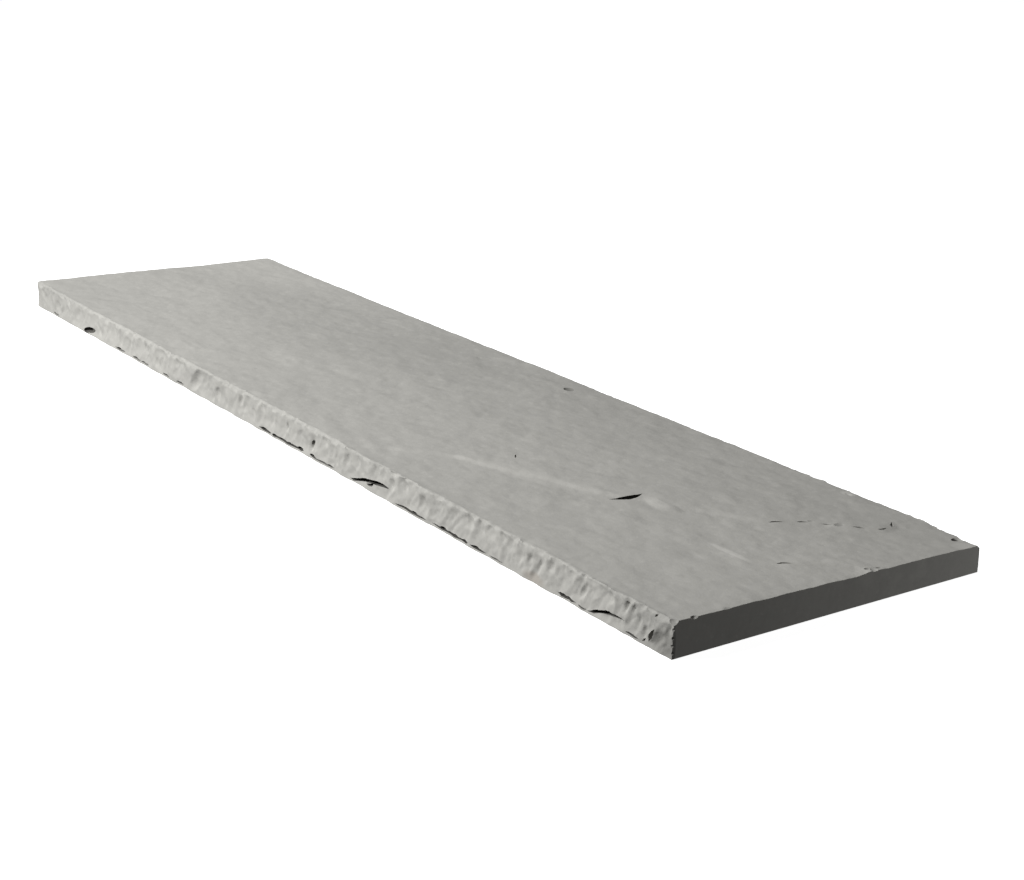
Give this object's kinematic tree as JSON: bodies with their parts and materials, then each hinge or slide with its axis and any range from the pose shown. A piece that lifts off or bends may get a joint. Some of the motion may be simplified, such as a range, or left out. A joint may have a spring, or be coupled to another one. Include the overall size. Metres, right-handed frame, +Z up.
{
  "type": "sandstone coping stone",
  "caption": "Long flat slab of grey riven sandstone with hand-pitched long edges and sawn ends, laid in mortar to cap a garden wall.",
  "frame": {"origin": "middle of the stone's bounding box, on the flat bed that it rests on", "axes": "+X along the stone towards the chipped right-hand end, +Y across it from the thicker pitched front edge to the back, +Z up from the bed"},
  "size_m": [1, 0.2544, 0.0241],
  "materials": {
    "sandstone": "matt; riven top, hand-pitched long edges, sawn ends and bed"
  },
  "bodies": {
    "root": {"coping_stone": "sandstone"}
  },
  "joints": []
}
